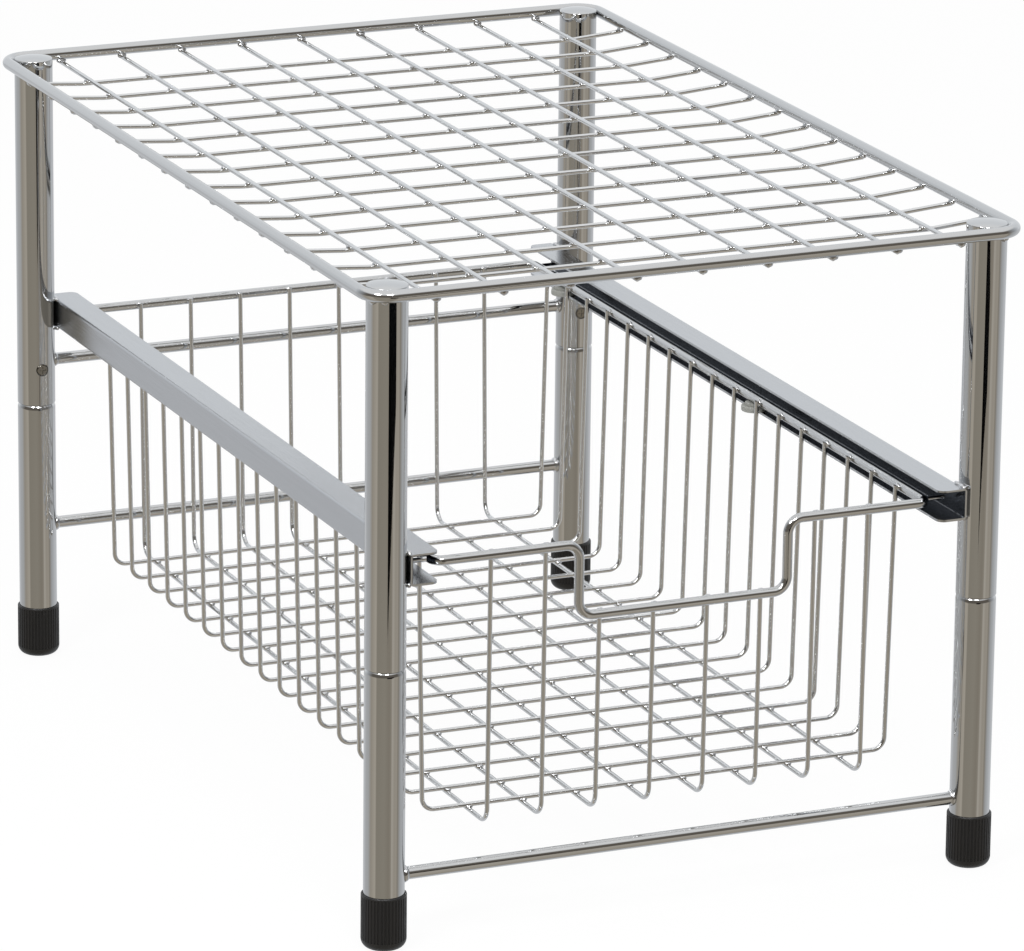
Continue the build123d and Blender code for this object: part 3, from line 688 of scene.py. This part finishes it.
# %% [markdown]
# ## The studio
# Chrome shows its surroundings, so the studio is half of the material. In the photograph the
# object stands in front of a white backdrop, and the side of the room where the camera is
# was left brownish grey, darker above the horizon, with two softboxes high in front. The
# room is painted on the sky by direction alone: it stays where it is when the camera moves.
# What the camera sees directly is plain white.

# %% World
BACK_WHITE = "#F0F3F6"
BACK_FLOOR = "#D9DBDE"
FLOOR_BANDS = [
    (0.0, "#A29B8E"), (0.12, "#9E978A"), (0.14, "#C4BCAE"), (0.22, "#B0A89B"), (0.27, "#C4C5C5"),
    (0.33, "#C9CACB"), (0.39, BACK_FLOOR), (0.64, BACK_FLOOR), (0.73, "#BFC1C2"), (0.78, "#9C9488"),
    (0.80, "#B8B0A3"), (0.84, "#B4AC9F"), (0.88, "#C6BFB3"), (0.90, "#A29A8D"), (0.93, "#9A9285"),
    (1.0, "#A29B8E"),
]
WALL_BANDS = [
    (0.0, "#6B655D"), (0.2, "#6E6860"), (0.3, "#B9BDC1"), (0.38, BACK_WHITE), (0.62, BACK_WHITE),
    (0.7, "#B9BDC1"), (0.8, "#6E6860"), (1.0, "#6B655D"),
]


def room_by_direction():
    world = bpy.data.worlds.new("studio_room")
    scene.world = world
    world.use_nodes = True
    tree = world.node_tree
    tree.nodes.clear()
    direction = add(tree, "ShaderNodeTexCoord").outputs["Generated"]
    parts = add(tree, "ShaderNodeSeparateXYZ", Vector=direction)
    # Angle round the vertical, from 0 to 1, counted from straight behind the object.
    turned = add(tree, "ShaderNodeMapping", {"vector_type": "NORMAL"}, Vector=direction,
                 Rotation=(0, 0, math.radians(CAMERA_YAW)))
    flat = add(tree, "ShaderNodeSeparateXYZ", Vector=turned.outputs[0])
    angle = add(tree, "ShaderNodeMath", {"operation": "ARCTAN2"}, in0=flat.outputs["X"],
                in1=flat.outputs["Y"])
    turn = add(tree, "ShaderNodeMapRange", Value=angle.outputs[0], From_Min=-math.pi, From_Max=math.pi)
    # Below the horizon: the room's floor, in bands. 0.5 is straight behind the object.
    low = add(tree, "ShaderNodeValToRGB", Fac=turn.outputs[0])
    paint(low.color_ramp, FLOOR_BANDS)
    # Above the horizon: the dim room behind the camera, and the white backdrop.
    high = add(tree, "ShaderNodeValToRGB", Fac=turn.outputs[0])
    paint(high.color_ramp, WALL_BANDS)
    horizon = add(tree, "ShaderNodeMapRange", {"interpolation_type": "SMOOTHSTEP"}, Value=parts.outputs["Z"],
                  From_Min=-0.14, From_Max=-0.04)
    walls = add(tree, "ShaderNodeMix", {"data_type": "RGBA"}, Factor=horizon.outputs[0],
                A=low.outputs[0], B=high.outputs[0])
    above = add(tree, "ShaderNodeMapRange", {"interpolation_type": "SMOOTHSTEP"}, Value=parts.outputs["Z"],
                From_Min=0.45, From_Max=0.72)
    room = add(tree, "ShaderNodeMix", {"data_type": "RGBA"}, Factor=above.outputs[0],
               A=walls.outputs["Result"], B=linear("#FFFFFF"))
    light = add(tree, "ShaderNodeBackground", Color=room.outputs["Result"], Strength=1.0)
    white = add(tree, "ShaderNodeBackground", Color=(1, 1, 1, 1), Strength=1.0)
    seen = add(tree, "ShaderNodeLightPath").outputs["Is Camera Ray"]
    both = add(tree, "ShaderNodeMixShader", in0=seen, in1=light.outputs[0], in2=white.outputs[0])
    output = add(tree, "ShaderNodeOutputWorld")
    tree.links.new(both.outputs[0], output.inputs[0])


def paint(ramp, stops):
    """Set a colour ramp's stops from (place, hex colour) pairs."""
    while len(ramp.elements) > 2:
        ramp.elements.remove(ramp.elements[-1])
    ramp.elements[0].position, ramp.elements[0].color = stops[0][0], linear(stops[0][1])
    ramp.elements[1].position, ramp.elements[1].color = stops[-1][0], linear(stops[-1][1])
    for place, hex_colour in stops[1:-1]:
        ramp.elements.new(place).color = linear(hex_colour)


room_by_direction()

# %% [markdown]
# The floor is pale and keeps only a faint shadow. Two softboxes high in front of the object
# make the pairs of small white dots on every bend, cap and weld. A photographer of chrome also
# sets up black flags: a dark line beside a bright one is what makes metal look like metal.

# %% Floor and lamps
FLOOR_SIZE = 12.0
# The share of the floor that shows as plain white to the camera; the rest keeps the shadow.
FLOOR_GLOW = 0.94


def white_floor():
    mesh = bpy.data.meshes.new("floor")
    half = FLOOR_SIZE / 2
    corners = [(-half, -half, 0), (half, -half, 0), (half, half, 0), (-half, half, 0)]
    mesh.from_pydata(corners, [], [(0, 1, 2, 3)])
    floor = bpy.data.objects.new("floor", mesh)
    scene.collection.objects.link(floor)
    material, tree, output, _ = new_material("white_studio_floor")
    paper = add(tree, "ShaderNodeBsdfDiffuse", Color=linear("#F2F2F2"))
    glow = add(tree, "ShaderNodeEmission", Color=(1, 1, 1, 1), Strength=1.0)
    seen = add(tree, "ShaderNodeLightPath").outputs["Is Camera Ray"]
    share = add(tree, "ShaderNodeMath", {"operation": "MULTIPLY"}, in0=seen, in1=FLOOR_GLOW)
    both = add(tree, "ShaderNodeMixShader", in0=share.outputs[0], in1=paper.outputs[0], in2=glow.outputs[0])
    tree.links.new(both.outputs[0], output.inputs[0])
    mesh.materials.append(material)
    floor.visible_glossy = False


def black_flag(name, outline):
    """A flat black screen that only reflections see."""
    mesh = bpy.data.meshes.new(name)
    mesh.from_pydata([Vector(place) * MM for place in outline], [], [tuple(range(len(outline)))])
    flag = bpy.data.objects.new(name, mesh)
    scene.collection.objects.link(flag)
    material, tree, output, _ = new_material("black_flocked_paper")
    paper = add(tree, "ShaderNodeBsdfDiffuse", Color=linear("#101010"))
    tree.links.new(paper.outputs[0], output.inputs[0])
    mesh.materials.append(material)
    flag.visible_camera = flag.visible_diffuse = flag.visible_shadow = False


def softbox(name, turn, height, distance, size, watts):
    """A square lamp round the object: turn is in degrees from the camera's side, to the right."""
    data = bpy.data.lights.new(name, "AREA")
    data.size = size
    data.energy = watts
    lamp = bpy.data.objects.new(name, data)
    scene.collection.objects.link(lamp)
    bearing = math.radians(turn - CAMERA_YAW)
    rise = math.radians(height)
    away = Vector((math.sin(bearing) * math.cos(rise), -math.cos(bearing) * math.cos(rise), math.sin(rise)))
    target = Vector((0, 0, 150 * MM))
    aim = away.to_track_quat("Z", "Y").to_matrix().to_4x4()
    lamp.matrix_world = Matrix.Translation(target + away * distance) @ aim


white_floor()
# The flag stands low in front, from left far to right near, and narrows downwards: that draws
# the tapering black line down the front posts. Its corners are in millimetres.
FLAG_OUTLINE = [
    (-317, -1397, -228), (4, -962, -18), (157, -755, 84), (157, -755, 140), (-405, -1516, 140),
    (-405, -1516, -268),
]
black_flag("flag", FLAG_OUTLINE)
for side, turn in (("left", -31), ("right", 10)):
    softbox("softbox_" + side, turn, height=42, distance=2.2, size=0.5, watts=14)

# %% Settings
scene.view_settings.view_transform = "Standard"
